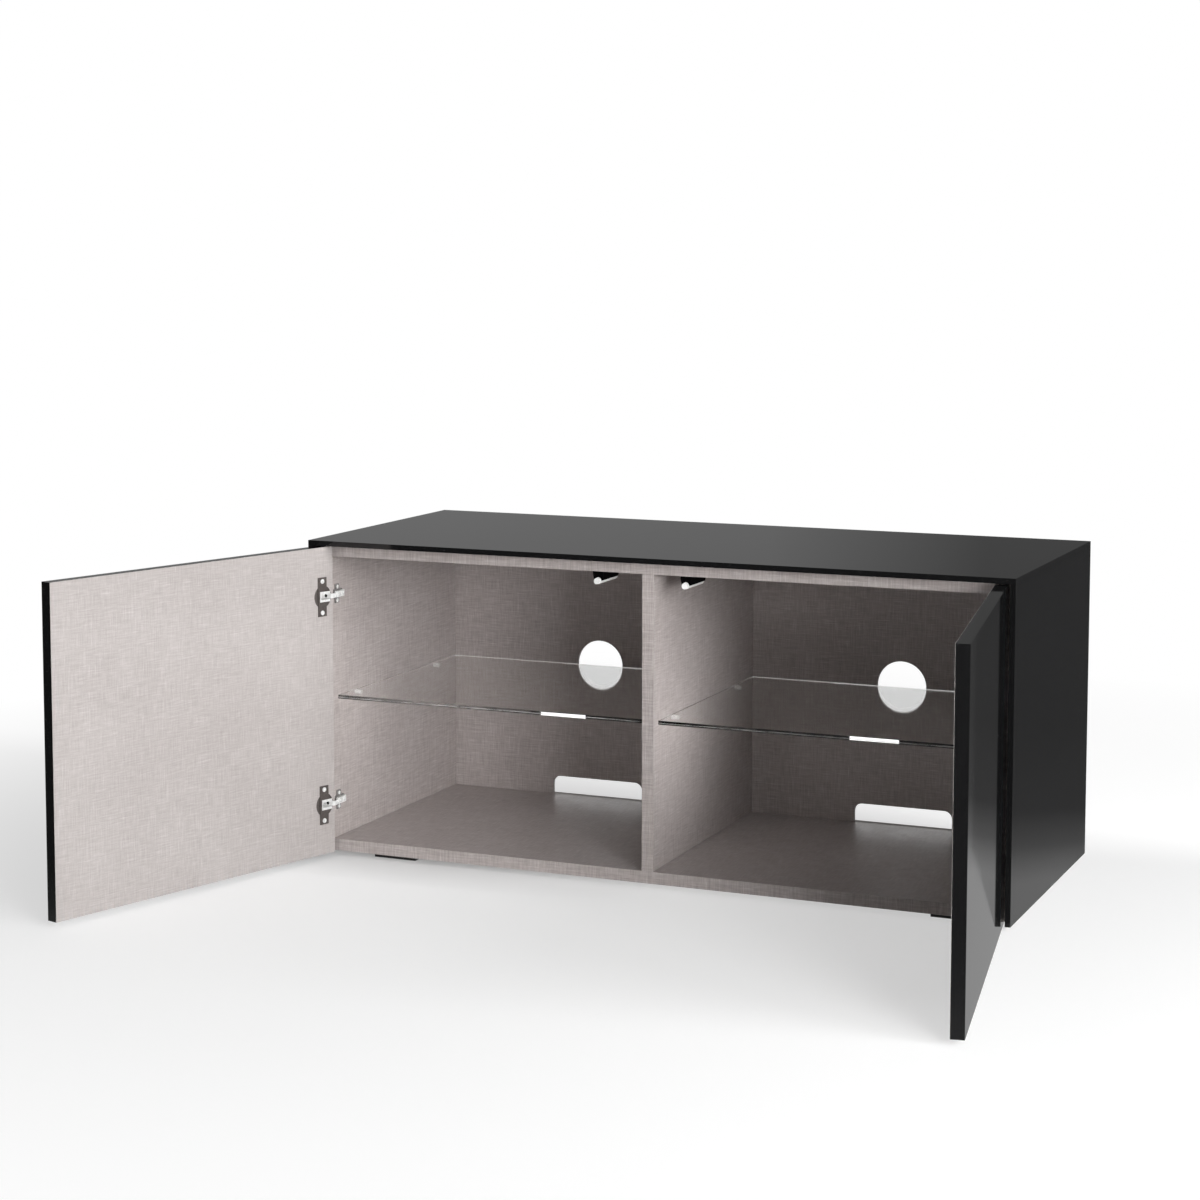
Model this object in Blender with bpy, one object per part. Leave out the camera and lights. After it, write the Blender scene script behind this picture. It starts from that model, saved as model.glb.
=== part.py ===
"""Media cabinet: a linen-laminate carcass clad in black glass, with two open swing doors and two glass shelves.

The frame is metres with +Z up. The origin is under the middle foot, on the floor. The doors face -Y.
"""

import math

import bmesh
import bpy
from mathutils import Matrix, Vector

# Overall size and the two sheet thicknesses.
WIDTH = 1.100
DEPTH = 0.465
HEIGHT = 0.493
GLASS = 0.008
BOARD = 0.018
GAP = 0.0003
# How far a cutting shape runs past the face that it opens.
PAST = 0.008

# Floor pads.
FOOT_HEIGHT = 0.008
FOOT_LENGTH = 0.070
FOOT_DEPTH = 0.030
FOOT_SETBACK = 0.041
LEFT_FOOT_X = -0.426
RIGHT_FOOT_X = 0.460

# Carcass.
FRONT_Y = -DEPTH / 2
BACK_Y = DEPTH / 2
CARCASS_SETBACK = 0.0247
CARCASS_FRONT_Y = FRONT_Y + CARCASS_SETBACK
FLOOR_LOW = FOOT_HEIGHT + GAP
FLOOR_TOP = FLOOR_LOW + BOARD
TOP_GLASS_LOW = HEIGHT - GLASS
TOP_BOARD_HIGH = TOP_GLASS_LOW - GAP
TOP_BOARD_LOW = TOP_BOARD_HIGH - BOARD
SIDE_OUTER_X = WIDTH / 2 - GLASS - GAP
SIDE_INNER_X = 0.524
DIVIDER_HALF = BOARD / 2

# Back panels, with a round cable hole and a cable notch in each.
BACK_PANEL_Y = 0.2194
BACK_PANEL_THICK = 0.005
HOLE_RADIUS = 0.040
HOLE_X = 0.258
HOLE_Z = 0.2497
NOTCH_X = 0.2625
NOTCH_WIDTH = 0.160
NOTCH_TOP = 0.0569
NOTCH_CORNER = 0.013

# Glass shelves and the pins that carry them.
SHELF_THICK = 0.006
SHELF_TOP = 0.249
SHELF_FRONT_Y = -0.1915
SHELF_BACK_Y = 0.2175
SHELF_SIDE_PLAY = 0.001
PIN_RADIUS = 0.0035
PIN_HOLE_RADIUS = 0.0038
PIN_IN = 0.0075
PIN_OUT = 0.0105
PIN_ROWS_Y = (-0.1325, 0.1385)

# Doors. AXIS_IN and AXIS_DEEP place the hinge pin from the hinge edge and from the inner face.
DOOR_THICK = 0.018
DOOR_SIDE_GAP = 0.003
DOOR_MIDDLE_GAP = 0.003
DOOR_LOW = 0.008
DOOR_HIGH = 0.4836
DOOR_INNER_Y = FRONT_Y + 0.021
DOOR_WIDTH = WIDTH / 2 - GLASS - DOOR_SIDE_GAP - DOOR_MIDDLE_GAP / 2
AXIS_IN = 0.009
AXIS_DEEP = 0.0106
AXIS_X = WIDTH / 2 - GLASS - DOOR_SIDE_GAP - AXIS_IN
AXIS_Y = DOOR_INNER_Y - AXIS_DEEP
LEFT_OPEN_DEG = 106.7
RIGHT_OPEN_DEG = 99.4

# Hinges: a cast cup in a blind bore, a cranked arm on the hinge pin, and a plate on the side board.
HINGE_HEIGHTS = {"upper": 0.4075, "lower": 0.0853}
CUP_IN = 0.021
BORE_RADIUS = 0.0175
BORE_DEEP = 0.014
CUP_RADIUS = 0.0172
CUP_DEEP = 0.0137
CUP_FLOOR = 0.0008
FLANGE_IN = (0.014, 0.0315)
FLANGE_HALF_HEIGHT = 0.030
FLANGE_THICK = 0.0012
BLOCK_IN = (0.007, 0.028)
BLOCK_HALF_HEIGHT = 0.008
BLOCK_PROUD = 0.0018
POCKET_IN = (0.005, 0.026)
POCKET_HALF_HEIGHT = 0.004
HINGE_PIN_RADIUS = 0.0009
HINGE_PIN_HALF = 0.0098
EYE_RADIUS = 0.002
EYE_HOLE_RADIUS = 0.0012
ARM_THICK = 0.002
ARM_HALF_HEIGHT = 0.0036
ARM_BODY_HALF_HEIGHT = 0.005
ARM_BODY_THICK = 0.004
ARM_REACH = 0.0153
ARM_CHAMFER = 0.002
ARM_CRANK_START = 0.008
ARM_CRANK_END = 0.017
ARM_TO_WALL = AXIS_X - SIDE_INNER_X
PLATE_THICK = 0.0028
PLATE_FRONT = 0.0186
PLATE_BACK = 0.042
PLATE_RAIL_HALF_HEIGHT = 0.007
PLATE_WING_Y = (0.023, 0.035)
PLATE_WING_HALF_HEIGHT = 0.0145
PLATE_WING_THICK = 0.0018
SCREW_IN = 0.0233
SCREW_SPACING = 0.0484
SCREW_HEAD_RADIUS = 0.0036
SCREW_HEAD_THICK = 0.0016
SCREW_RADIUS = 0.0016
SCREW_HOLE_RADIUS = 0.0019
SCREW_LENGTH = 0.009

# Push latches under the top board, one behind each door.
LATCH_X = {"left": -0.080, "right": 0.058}
LATCH_Z = 0.4527
HOUSING_HALF_TOP = 0.0083
HOUSING_HALF_LOW = 0.0064
HOUSING_SHOULDER = 0.004
LATCH_FRONT_Y = FRONT_Y + 0.027
LATCH_LENGTH = 0.062
HOUSING_LOW = 0.453
TUBE_RADIUS = 0.005
TUBE_BORE_RADIUS = 0.0031
STEM_RADIUS = 0.0028
STEM_LENGTH = 0.040
BUTTON_RADIUS = 0.0046
BUTTON_THICK = 0.0016
BUTTON_BEHIND_DOOR = 0.0006

SMOOTH_ANGLE = math.radians(35)


def clear_scene():
    for old in list(bpy.data.objects):
        bpy.data.objects.remove(old, do_unlink=True)


def material(name, colour, roughness, metallic=0.0, alpha=1.0):
    made = bpy.data.materials.new(name)
    made.use_nodes = True
    shader = made.node_tree.nodes["Principled BSDF"]
    shader.inputs["Base Color"].default_value = (*colour, 1.0)
    shader.inputs["Roughness"].default_value = roughness
    shader.inputs["Metallic"].default_value = metallic
    shader.inputs["Alpha"].default_value = alpha
    return made


def black_glass():
    return material("black_glass", (0.012, 0.012, 0.013), 0.05)


def clear_glass():
    return material("clear_glass", (0.80, 0.88, 0.86), 0.03, alpha=0.35)


def linen_laminate():
    return material("linen_laminate", (0.40, 0.35, 0.33), 0.40)


def door_lacquer():
    return material("door_lacquer", (0.015, 0.015, 0.016), 0.08)


def hinge_steel():
    return material("hinge_steel", (0.62, 0.61, 0.59), 0.30, metallic=1.0)


def screw_steel():
    return material("screw_steel", (0.75, 0.75, 0.74), 0.25, metallic=1.0)


def black_plastic():
    return material("black_plastic", (0.02, 0.02, 0.02), 0.45)


def pale_plastic():
    return material("pale_plastic", (0.62, 0.62, 0.60), 0.40)


def rubber():
    return material("foot_rubber", (0.015, 0.015, 0.015), 0.70)


def empty(name, location, turn_deg=0.0):
    made = bpy.data.objects.new(name, None)
    made.location = location
    made.rotation_euler = (0.0, 0.0, math.radians(turn_deg))
    bpy.context.scene.collection.objects.link(made)
    return made


def add_object(name, bm, mat, parent=None):
    """Turns the mesh into a named object, faces outward, with round sides shaded smooth."""
    bmesh.ops.recalc_face_normals(bm, faces=bm.faces)
    mesh = bpy.data.meshes.new(name)
    bm.to_mesh(mesh)
    bm.free()
    mesh.shade_smooth()
    mesh.set_sharp_from_angle(angle=SMOOTH_ANGLE)
    if mat:
        mesh.materials.append(mat)
    made = bpy.data.objects.new(name, mesh)
    made.parent = parent
    bpy.context.scene.collection.objects.link(made)
    return made


def box(x0, x1, y0, y1, z0, z1):
    bm = bmesh.new()
    middle = Vector(((x0 + x1) / 2, (y0 + y1) / 2, (z0 + z1) / 2))
    size = Matrix.Diagonal((abs(x1 - x0), abs(y1 - y0), abs(z1 - z0), 1.0))
    bmesh.ops.create_cube(bm, size=1.0, matrix=Matrix.Translation(middle) @ size)
    return bm


def cylinder(along, start, end, centre, radius, segments=24):
    """A capped cylinder along one axis. The centre gives the two other coordinates, in x, y, z order."""
    turn = {
        "X": Matrix.Rotation(math.pi / 2, 4, "Y"),
        "Y": Matrix.Rotation(math.pi / 2, 4, "X"),
        "Z": Matrix.Identity(4),
    }[along]
    middle = (start + end) / 2
    place = {
        "X": (middle, *centre),
        "Y": (centre[0], middle, centre[1]),
        "Z": (*centre, middle),
    }[along]
    bm = bmesh.new()
    bmesh.ops.create_cone(
        bm,
        cap_ends=True,
        segments=segments,
        radius1=radius,
        radius2=radius,
        depth=abs(end - start),
        matrix=Matrix.Translation(place) @ turn,
    )
    return bm


def prism(outline, along, low, high):
    """An outline pushed from low to high. It is drawn in X and Z for along Y, and in X and Y for along Z."""
    bm = bmesh.new()
    if along == "Y":
        points = [(x, low, z) for x, z in outline]
        push = Vector((0.0, high - low, 0.0))
    else:
        points = [(x, y, low) for x, y in outline]
        push = Vector((0.0, 0.0, high - low))
    face = bm.faces.new([bm.verts.new(point) for point in points])
    grown = bmesh.ops.extrude_face_region(bm, geom=[face])
    moved = [item for item in grown["geom"] if isinstance(item, bmesh.types.BMVert)]
    bmesh.ops.translate(bm, vec=push, verts=moved)
    return bm


def combine(target, helper_bm, operation):
    """Joins a helper shape to the target, or cuts it away, with an exact Boolean."""
    number = len(target.modifiers) + 1
    helper = add_object(f"{target.name}_helper{number}", helper_bm, None, target.parent)
    helper.hide_render = True
    helper.display_type = "WIRE"
    modifier = target.modifiers.new(f"shape{number}", "BOOLEAN")
    modifier.operation = operation
    modifier.solver = "EXACT"
    modifier.object = helper


def cut(target, helper_bm):
    combine(target, helper_bm, "DIFFERENCE")


def join(target, helper_bm):
    combine(target, helper_bm, "UNION")


def build_glass(mat):
    """The top sheet covers the two side sheets, which hang just clear of the floor."""
    top = box(-WIDTH / 2, WIDTH / 2, FRONT_Y, BACK_Y, TOP_GLASS_LOW, HEIGHT)
    add_object("top_glass", top, mat)
    for name, side in (("left", -1), ("right", 1)):
        outer = side * WIDTH / 2
        inner = side * (WIDTH / 2 - GLASS)
        sheet = box(inner, outer, FRONT_Y, BACK_Y, FOOT_HEIGHT, TOP_GLASS_LOW - GAP)
        add_object(f"{name}_side_glass", sheet, mat)


def drill_pin_holes(board, face_x, into):
    """Two blind holes for shelf pins, from the board's face toward its middle."""
    pin_z = SHELF_TOP - SHELF_THICK - GAP - PIN_RADIUS
    for y in PIN_ROWS_Y:
        start = face_x - into * GAP
        end = face_x + into * (PIN_IN + GAP)
        cut(board, cylinder("X", start, end, (y, pin_z), PIN_HOLE_RADIUS, 16))


def build_boards(mat):
    for name, low, high in (
        ("bottom_board", FLOOR_LOW, FLOOR_TOP),
        ("top_board", TOP_BOARD_LOW, TOP_BOARD_HIGH),
    ):
        sheet = box(-SIDE_OUTER_X, SIDE_OUTER_X, CARCASS_FRONT_Y, BACK_Y, low, high)
        add_object(name, sheet, mat)
    low = FLOOR_TOP + GAP
    high = TOP_BOARD_LOW - GAP
    for name, side in (("left", -1), ("right", 1)):
        sheet = box(side * SIDE_INNER_X, side * SIDE_OUTER_X, CARCASS_FRONT_Y, BACK_Y, low, high)
        board = add_object(f"{name}_side_board", sheet, mat)
        drill_pin_holes(board, side * SIDE_INNER_X, side)
    sheet = box(-DIVIDER_HALF, DIVIDER_HALF, CARCASS_FRONT_Y, BACK_Y, low, high)
    divider = add_object("divider_board", sheet, mat)
    for side in (-1, 1):
        drill_pin_holes(divider, side * DIVIDER_HALF, -side)


def notch_outline(middle_x):
    """The cable notch: open at the panel's lower edge, with two rounded upper corners."""
    half = NOTCH_WIDTH / 2
    low = FLOOR_TOP - BOARD / 2
    points = [(middle_x - half, low), (middle_x + half, low)]
    corner_z = NOTCH_TOP - NOTCH_CORNER
    for start, corner_x in ((0, middle_x + half - NOTCH_CORNER), (90, middle_x - half + NOTCH_CORNER)):
        for step in range(7):
            angle = math.radians(start + 15 * step)
            x = corner_x + NOTCH_CORNER * math.cos(angle)
            z = corner_z + NOTCH_CORNER * math.sin(angle)
            points.append((x, z))
    return points


def build_back_panels(mat):
    near = BACK_PANEL_Y
    far = BACK_PANEL_Y + BACK_PANEL_THICK
    for name, side in (("left", -1), ("right", 1)):
        inner = side * (DIVIDER_HALF + GAP)
        outer = side * (SIDE_INNER_X - GAP)
        sheet = box(inner, outer, near, far, FLOOR_TOP + GAP, TOP_BOARD_LOW - GAP)
        panel = add_object(f"{name}_back_panel", sheet, mat)
        through = (near - BOARD, far + BOARD)
        cut(panel, cylinder("Y", *through, (side * HOLE_X, HOLE_Z), HOLE_RADIUS, 48))
        cut(panel, prism(notch_outline(side * NOTCH_X), "Y", *through))


def build_shelves(glass_mat, pin_mat):
    pin_z = SHELF_TOP - SHELF_THICK - GAP - PIN_RADIUS
    for name, side in (("left", -1), ("right", 1)):
        inner = side * (DIVIDER_HALF + SHELF_SIDE_PLAY)
        outer = side * (SIDE_INNER_X - SHELF_SIDE_PLAY)
        low = SHELF_TOP - SHELF_THICK
        sheet = box(inner, outer, SHELF_FRONT_Y, SHELF_BACK_Y, low, SHELF_TOP)
        add_object(f"{name}_shelf", sheet, glass_mat)
        for wall, face_x, into in (
            ("inner", side * DIVIDER_HALF, -side),
            ("outer", side * SIDE_INNER_X, side),
        ):
            for row, y in zip(("front", "rear"), PIN_ROWS_Y):
                start = face_x + into * PIN_IN
                end = face_x - into * PIN_OUT
                pin = cylinder("X", start, end, (y, pin_z), PIN_RADIUS, 16)
                add_object(f"{name}_shelf_pin_{wall}_{row}", pin, pin_mat)


def build_feet(mat):
    front = FRONT_Y + FOOT_SETBACK
    back = BACK_Y - FOOT_SETBACK
    places = {"middle_foot": (0.0, 0.0)}
    for name, x in (("left", LEFT_FOOT_X), ("right", RIGHT_FOOT_X)):
        places[f"{name}_front_foot"] = (x, front + FOOT_DEPTH / 2)
        places[f"{name}_rear_foot"] = (x, back - FOOT_DEPTH / 2)
    for name, (x, y) in places.items():
        half = FOOT_LENGTH / 2
        pad = box(x - half, x + half, y - FOOT_DEPTH / 2, y + FOOT_DEPTH / 2, 0.0, FOOT_HEIGHT)
        add_object(name, pad, mat)


def across(mirror, distance):
    """The local X of a point on a door, from its distance in from the hinge edge."""
    return mirror * (distance - AXIS_IN)


def build_door(name, pivot, mirror, mat):
    """The door is drawn closed, around the hinge axis. Its parent empty turns it open."""
    inner = AXIS_DEEP
    outer = AXIS_DEEP - DOOR_THICK
    sheet = box(across(mirror, 0.0), across(mirror, DOOR_WIDTH), outer, inner, DOOR_LOW, DOOR_HIGH)
    door = add_object(f"{name}_door", sheet, mat, pivot)
    bore_x = across(mirror, CUP_IN)
    screw_x = across(mirror, SCREW_IN)
    for z in HINGE_HEIGHTS.values():
        cut(door, cylinder("Y", inner - BORE_DEEP, inner + PAST, (bore_x, z), BORE_RADIUS, 40))
        for step in (-1, 1):
            place = (screw_x, z + step * SCREW_SPACING / 2)
            deep = inner - SCREW_LENGTH - GAP
            cut(door, cylinder("Y", deep, inner + PAST, place, SCREW_HOLE_RADIUS, 12))


def build_cup(name, pivot, mirror, z, mat):
    """A cast cup with a screw flange. The arm turns in its pocket, on a pin held by the block round the pocket."""
    face = AXIS_DEEP
    proud = face + GAP + FLANGE_THICK
    floor = face - CUP_DEEP
    middle = across(mirror, CUP_IN)
    body = cylinder("Y", floor, face - GAP, (middle, z), CUP_RADIUS, 40)
    cup = add_object(name, body, mat, pivot)
    block_x = [across(mirror, distance) for distance in BLOCK_IN]
    block = (z - BLOCK_HALF_HEIGHT, z + BLOCK_HALF_HEIGHT)
    join(cup, box(*block_x, face - FLANGE_THICK, face + BLOCK_PROUD, *block))
    flange_x = [across(mirror, distance) for distance in FLANGE_IN]
    flange = (z - FLANGE_HALF_HEIGHT, z + FLANGE_HALF_HEIGHT)
    join(cup, box(*flange_x, face + GAP, proud, *flange))
    pocket_x = [across(mirror, distance) for distance in POCKET_IN]
    pocket = (z - POCKET_HALF_HEIGHT, z + POCKET_HALF_HEIGHT)
    cut(cup, box(*pocket_x, floor + CUP_FLOOR, face + PAST, *pocket))
    reach = HINGE_PIN_HALF + GAP
    cut(cup, cylinder("Z", z - reach, z + reach, (0.0, 0.0), EYE_HOLE_RADIUS, 16))
    for step in (-1, 1):
        place = (across(mirror, SCREW_IN), z + step * SCREW_SPACING / 2)
        cut(cup, cylinder("Y", face - GAP, face + PAST, place, SCREW_HOLE_RADIUS, 12))


def build_cup_screws(name, pivot, mirror, z, mat):
    under_head = AXIS_DEEP + 2 * GAP + FLANGE_THICK
    for end, step in (("low", -1), ("high", 1)):
        place = (across(mirror, SCREW_IN), z + step * SCREW_SPACING / 2)
        top = under_head + SCREW_HEAD_THICK
        head = cylinder("Y", under_head, top, place, SCREW_HEAD_RADIUS, 20)
        screw = add_object(f"{name}_{end}", head, mat, pivot)
        tip = AXIS_DEEP - SCREW_LENGTH
        join(screw, cylinder("Y", tip, under_head + SCREW_HEAD_THICK / 2, place, SCREW_RADIUS, 12))


def build_hinge_pin(name, pivot, z, mat):
    pin = cylinder("Z", z - HINGE_PIN_HALF, z + HINGE_PIN_HALF, (0.0, 0.0), HINGE_PIN_RADIUS, 16)
    add_object(name, pin, mat, pivot)


def ribbon(path, thickness):
    """The outline of a strip of even thickness along a path, with mitred corners."""
    half = thickness / 2
    left = []
    right = []
    for index, point in enumerate(path):
        here = Vector(point)
        before = Vector(path[max(index - 1, 0)])
        after = Vector(path[min(index + 1, len(path) - 1)])
        sides = []
        for start, end in ((before, here), (here, after)):
            run = end - start
            if run.length > 0:
                sides.append(Vector((-run.y, run.x)).normalized())
        normal = (sides[0] + sides[-1]).normalized()
        reach = half / normal.dot(sides[0])
        left.append(tuple(here + normal * reach))
        right.append(tuple(here - normal * reach))
    return left + right[::-1]


def arm_path(mirror):
    """From the pin out of the cup, round the door's rim, then back along the side board."""
    neck = ARM_THICK / 2 - EYE_RADIUS
    tail = ARM_TO_WALL + PLATE_THICK + 2 * GAP + ARM_THICK / 2
    points = (
        (0.0, neck),
        (ARM_REACH - ARM_CHAMFER, neck),
        (ARM_REACH, neck + ARM_CHAMFER),
        (ARM_REACH, ARM_CRANK_START),
        (tail, ARM_CRANK_END),
        (tail, PLATE_BACK - 2 * GAP),
    )
    return [(mirror * x, y) for x, y in points]


def build_arm(name, place, mirror, z, mat):
    """A cranked steel arm, fixed to the carcass. The eye at its end turns on the hinge pin."""
    low = z - ARM_HALF_HEIGHT
    high = z + ARM_HALF_HEIGHT
    strip = prism(ribbon(arm_path(mirror), ARM_THICK), "Z", low, high)
    arm = add_object(name, strip, mat, place)
    join(arm, cylinder("Z", low, high, (0.0, 0.0), EYE_RADIUS, 20))
    cut(arm, cylinder("Z", low - GAP, high + GAP, (0.0, 0.0), EYE_HOLE_RADIUS, 16))
    near = ARM_TO_WALL + PLATE_THICK + 2 * GAP
    far = near + ARM_BODY_THICK
    half = ARM_BODY_HALF_HEIGHT
    body = box(mirror * near, mirror * far, PLATE_FRONT + GAP, PLATE_BACK - GAP, z - half, z + half)
    join(arm, body)


def build_plate(name, place, mirror, z, mat):
    """The mounting plate: a rail under the arm, with a screw wing above and below."""
    near = ARM_TO_WALL + GAP
    far = near + PLATE_THICK
    half = PLATE_RAIL_HALF_HEIGHT
    rail = box(mirror * near, mirror * far, PLATE_FRONT, PLATE_BACK, z - half, z + half)
    plate = add_object(name, rail, mat, place)
    half = PLATE_WING_HALF_HEIGHT
    join(plate, box(mirror * near, mirror * (near + PLATE_WING_THICK), *PLATE_WING_Y, z - half, z + half))


def build_doors_and_hinges():
    lacquer = door_lacquer()
    steel = hinge_steel()
    bright = screw_steel()
    for name, mirror, open_deg in (("left", 1, LEFT_OPEN_DEG), ("right", -1, RIGHT_OPEN_DEG)):
        axis = (-mirror * AXIS_X, AXIS_Y, 0.0)
        pivot = empty(f"{name}_door_pivot", axis, -mirror * open_deg)
        place = empty(f"{name}_hinge_place", axis)
        build_door(name, pivot, mirror, lacquer)
        for level, z in HINGE_HEIGHTS.items():
            hinge = f"{name}_{level}_hinge"
            build_cup(f"{hinge}_cup", pivot, mirror, z, steel)
            build_cup_screws(f"{hinge}_screw", pivot, mirror, z, bright)
            build_hinge_pin(f"{hinge}_pin", pivot, z, bright)
            build_arm(f"{hinge}_arm", place, mirror, z, steel)
            build_plate(f"{hinge}_plate", place, mirror, z, steel)


def housing_outline(x):
    """The latch housing's end: straight shoulders under the board, then sides that draw in."""
    top = TOP_BOARD_LOW - GAP
    corners = (
        (-HOUSING_HALF_TOP, top),
        (HOUSING_HALF_TOP, top),
        (HOUSING_HALF_TOP, top - HOUSING_SHOULDER),
        (HOUSING_HALF_LOW, HOUSING_LOW),
        (-HOUSING_HALF_LOW, HOUSING_LOW),
        (-HOUSING_HALF_TOP, top - HOUSING_SHOULDER),
    )
    return [(x + across_x, z) for across_x, z in corners]


def build_latches():
    dark = black_plastic()
    pale = pale_plastic()
    front = LATCH_FRONT_Y
    back = LATCH_FRONT_Y + LATCH_LENGTH
    for name, x in LATCH_X.items():
        block = prism(housing_outline(x), "Y", front, back)
        housing = add_object(f"{name}_latch_housing", block, dark)
        groove = cylinder("Y", front - PAST, back + PAST, (x, LATCH_Z), TUBE_RADIUS + GAP, 32)
        cut(housing, groove)
        barrel = cylinder("Y", front, back, (x, LATCH_Z), TUBE_RADIUS, 32)
        tube = add_object(f"{name}_latch_tube", barrel, pale)
        bore_end = front + STEM_LENGTH + BUTTON_THICK
        cut(tube, cylinder("Y", front - PAST, bore_end, (x, LATCH_Z), TUBE_BORE_RADIUS, 20))
        tip = DOOR_INNER_Y + BUTTON_BEHIND_DOOR
        slide = empty(f"{name}_plunger_place", (x, tip, LATCH_Z))
        button = cylinder("Y", 0.0, BUTTON_THICK, (0.0, 0.0), BUTTON_RADIUS, 24)
        plunger = add_object(f"{name}_latch_plunger", button, pale, slide)
        join(plunger, cylinder("Y", BUTTON_THICK / 2, STEM_LENGTH, (0.0, 0.0), STEM_RADIUS, 20))


def build():
    clear_scene()
    laminate = linen_laminate()
    build_glass(black_glass())
    build_boards(laminate)
    build_back_panels(laminate)
    build_shelves(clear_glass(), screw_steel())
    build_feet(rubber())
    build_doors_and_hinges()
    build_latches()


build()
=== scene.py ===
"""Scene for the media cabinet: materials, small fittings, a pale studio floor, lights and the camera."""
import math

import bmesh
import bpy
from mathutils import Matrix, Vector


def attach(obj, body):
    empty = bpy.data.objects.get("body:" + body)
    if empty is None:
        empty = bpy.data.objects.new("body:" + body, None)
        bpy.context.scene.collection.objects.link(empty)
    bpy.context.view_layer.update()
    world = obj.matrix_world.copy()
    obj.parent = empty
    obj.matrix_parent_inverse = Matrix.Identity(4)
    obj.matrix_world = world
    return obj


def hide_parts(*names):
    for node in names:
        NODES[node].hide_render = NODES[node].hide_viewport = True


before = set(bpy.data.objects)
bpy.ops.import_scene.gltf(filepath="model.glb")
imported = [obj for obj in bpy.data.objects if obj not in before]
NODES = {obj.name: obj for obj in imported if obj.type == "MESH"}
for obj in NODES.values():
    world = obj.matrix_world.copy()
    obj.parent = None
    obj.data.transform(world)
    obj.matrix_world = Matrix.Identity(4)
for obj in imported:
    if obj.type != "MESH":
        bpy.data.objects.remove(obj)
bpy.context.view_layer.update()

# Places repeated from the part, in metres.
HINGE_X = 0.530
HINGE_Y = -0.2221
HINGE_HEIGHTS = {"upper": 0.4075, "lower": 0.0853}
OPEN_DEG = {"left": 106.7, "right": 99.4}
DOOR_FACE = 0.0106
HINGE_MIDDLE = 0.2464
HINGE_HALF_SPAN = 0.1611
SHELF_FRONT_Y = -0.1915
SHELF_BACK_Y = 0.2175
SHELF_MIDDLE_Z = 0.246
FLANGE_FACE = 0.0121
HINGE_EDGE_IN = 0.009
POCKET_REACH = 0.019
POCKET_HALF = 0.0045
CUP_SCREW_IN = 0.0233
CUP_SCREW_SPACING = 0.0484
HOLE_X = 0.258
HOLE_Z = 0.2497
NOTCH_X = 0.2625
NOTCH_WIDTH = 0.160
WING_FACE_X = 0.5219
WING_SCREW_Y = 0.029
WING_SCREW_HALF = 0.0105
ARM_FACE_X = 0.5166
ARM_SCREWS_Y = (0.0245, 0.0365)
ARM_HOLE_X = 0.5247
ARM_HOLE_WIDE = 0.0042
ARM_HOLE_HIGH = 0.0052

# Screw heads: radius, rise and depth of the cross, in metres.
CUP_SCREW = (0.0036, 0.0015, 0.0009)
PLATE_SCREW = (0.0030, 0.0012, 0.0008)
ARM_SCREW = (0.0034, 0.0009, 0.0007)
SCREW_RINGS = 9
SCREW_SPOKES = 40
SCREW_TURN = 0.6

# Their shape, as shares of the rise or the radius.
SCREW_CROWN = 0.35
SCREW_CROSS_HALF = 0.16
SCREW_CROSS_REACH = 0.68

# The cards in the holes and notches, just inside their edges.
CARD_Y = 0.2220
CARD_HOLE_RADIUS = 0.0395
CARD_HOLE_SIDES = 48
CARD_NOTCH_GAP = 0.001
CARD_NOTCH_FOOT = 0.027
CARD_NOTCH_SHOULDER = 0.046
CARD_NOTCH_TOP = 0.0565
CARD_NOTCH_CORNER = 0.010

# Linen: dark, middle and pale thread colours, and noise scales along and across the threads.
BOARD_LINEN = ((0.345, 0.304, 0.292), (0.450, 0.404, 0.390), (0.580, 0.540, 0.528))
# The door's linen is the board linen made a little darker and greyer: painted shade and sheen for how the
# light falls on the open doors.
DOOR_LINEN_SHADE_AND_SHEEN = ((0.328, 0.298, 0.288), (0.428, 0.396, 0.385), (0.556, 0.529, 0.519))
THREAD_SCALES = (34, 570)
SLUB_SCALES = (40, 800)
LINEN_BUMP = (0.20, 0.0002)
DOOR_THREAD_CONTRAST = 0.62

# The shelves' edges: how far in from an edge its paint reaches, and the ground band's height and half width.
EDGE_PAINT = 0.0004
GROUND_BAND_Z = SHELF_MIDDLE_Z - 0.0006
GROUND_BAND_HALF = 0.0008

# The floor as the camera sees it: its brightness in front and behind, and how far out it fades to white.
FLOOR_FRONT = 0.52
FLOOR_BEHIND = 0.70
FLOOR_FADE = (0.75, 1.9)

# The contact shadow painted on it: the half width and half depth it starts from, its reach and strength.
SHADOW_HALF_WIDTH = 0.54
SHADOW_HALF_DEPTH = 0.20
SHADOW_REACH = 0.14
SHADOW_STRENGTH = 0.24

# Lamps: place, target, the two sides in metres, and watts.
MIDDLE = (0.0, 0.0, 0.3)
LAMPS = {
    "side": ((4.0, -1.0, 2.0), MIDDLE, (2.0, 2.0), 134.0),
    "key": ((3.15, -2.72, 1.3), MIDDLE, (1.2, 1.2), 70.0),
    "low": ((2.5, -3.1, 0.7), MIDDLE, (0.9, 0.9), 62.0),
    "high": ((2.6, -3.2, 2.4), MIDDLE, (2.4, 2.0), 30.0),
    "bounce": ((0.50, -0.13, 0.24), (0.009, -0.12, 0.22), (0.20, 0.10), 0.10),
    "sky": ((-0.4, -0.6, 4.0), (0.0, 0.0, 0.0), (5.0, 5.0), 16.0),
}
BOUNCE_SPREAD_DEG = 48
BACKDROP_THROUGH_GLASS = 1.4

# The camera.
CAMERA_PLACE = (1.3990, -3.6630, 0.9674)
CAMERA_YAW = 0.4035
CAMERA_PITCH = -0.0951
CAMERA_ROLL = 0.0009
FOCAL_MM = 77.55
SHIFT_Y = -0.1043


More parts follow.
